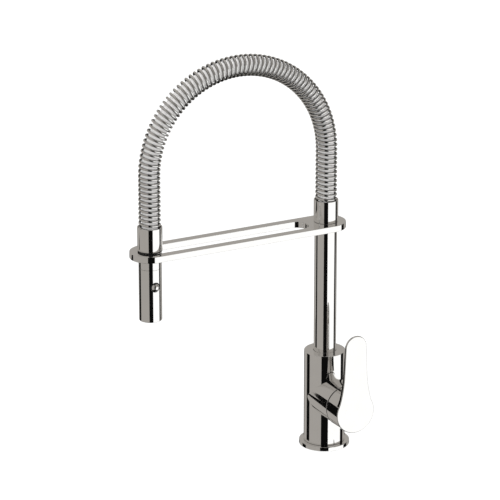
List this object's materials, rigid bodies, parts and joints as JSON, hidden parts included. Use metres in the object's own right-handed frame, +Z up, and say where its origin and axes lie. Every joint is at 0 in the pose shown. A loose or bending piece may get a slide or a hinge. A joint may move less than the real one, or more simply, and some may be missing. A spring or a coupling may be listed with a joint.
{
  "type": "pull down kitchen faucet",
  "caption": "Chrome single-lever kitchen faucet with a swivelling slim column, a slotted arm, a spring arch around the hose and a pull-down push-button spray handset.",
  "frame": {"origin": "centre of the base on the deck, on the column's axis", "axes": "+Z up along the column; the arm and spray handset reach along -Y; the lever's axis runs along +X"},
  "size_m": [0.1075, 0.2885, 0.507],
  "materials": {
    "chrome": "polished chrome plate",
    "spring_steel": "bright plated round wire",
    "brass": "machined",
    "steel": "machined stainless steel",
    "rubber": "matt moulded",
    "ceramic": "lapped",
    "white_plastic": "moulded acetal",
    "grey_plastic": "moulded",
    "braided_hose": "braided over a flexible hose"
  },
  "bodies": {
    "mixer_body": {"base_flange": "chrome", "base_gasket": "rubber", "inlet_block": "brass", "body_shell": "chrome", "cartridge_seat": "brass", "cartridge_body": "white_plastic", "fixed_disc": "ceramic", "stem_seal": "rubber", "retaining_nut": "brass", "lever_bearing": "white_plastic", "lever_wiper": "rubber", "hot_tube": "brass", "cold_tube": "brass", "mixed_tube": "brass", "column_socket": "brass", "lower_bearing": "white_plastic", "upper_bearing": "white_plastic", "body_hose": "braided_hose"},
    "lever": {"lever_handle": "chrome", "cartridge_stem": "steel", "moving_disc": "ceramic", "lever_set_screw": "steel", "lever_screw_plug": "grey_plastic"},
    "spout": {"column_tube": "chrome", "column_clip": "steel", "lower_o_ring": "rubber", "upper_o_ring": "rubber", "arm": "chrome", "arm_screw_column": "steel", "arm_screw_dock": "steel", "column_sleeve": "chrome", "dock_sleeve": "chrome", "dock_seal": "rubber", "dock_tube": "chrome", "dock_bush": "grey_plastic", "arch_spring": "spring_steel", "hose_conduit": "grey_plastic", "arch_hose": "braided_hose", "riser_hose": "braided_hose"},
    "spray_hose": {"drop_hose": "braided_hose", "hose_nipple": "brass", "nipple_o_ring": "rubber"},
    "spray_head": {"handset_shell": "chrome", "handset_insert": "white_plastic", "check_valve": "grey_plastic", "aerator_housing": "white_plastic", "aerator_cartridge": "grey_plastic", "spray_face": "grey_plastic", "nozzle_ring": "rubber", "button_collar": "rubber"},
    "push_button": {"spray_button": "chrome", "button_spring": "steel", "diverter_plunger": "brass"}
  },
  "joints": [
    {"name": "lever_turn", "type": "hinge", "parent": "mixer_body", "child": "lever", "pos_m": [0.05, 0, 0.0656], "axis": [1, 0, 0], "range_deg": [0, 100]},
    {"name": "spout_swivel", "type": "hinge", "parent": "mixer_body", "child": "spout", "pos_m": [0, 0, 0.1214], "axis": [0, 0, 1], "range_deg": [-160, 160]},
    {"name": "hose_pull", "type": "slide", "parent": "spout", "child": "spray_hose", "axis": [0, 0, -1], "range_m": [0, 0.09]},
    {"name": "handset_turn", "type": "hinge", "parent": "spray_hose", "child": "spray_head", "pos_m": [0, -0.234, 0.266], "axis": [0, 0, 1], "continuous": true},
    {"name": "button_press", "type": "slide", "parent": "spray_head", "child": "push_button", "axis": [-1, 0, 0], "range_m": [0, 0.0022], "stiffness_N_per_m": 600, "springref_m": -0.002, "deforming": ["button_spring"]}
  ]
}
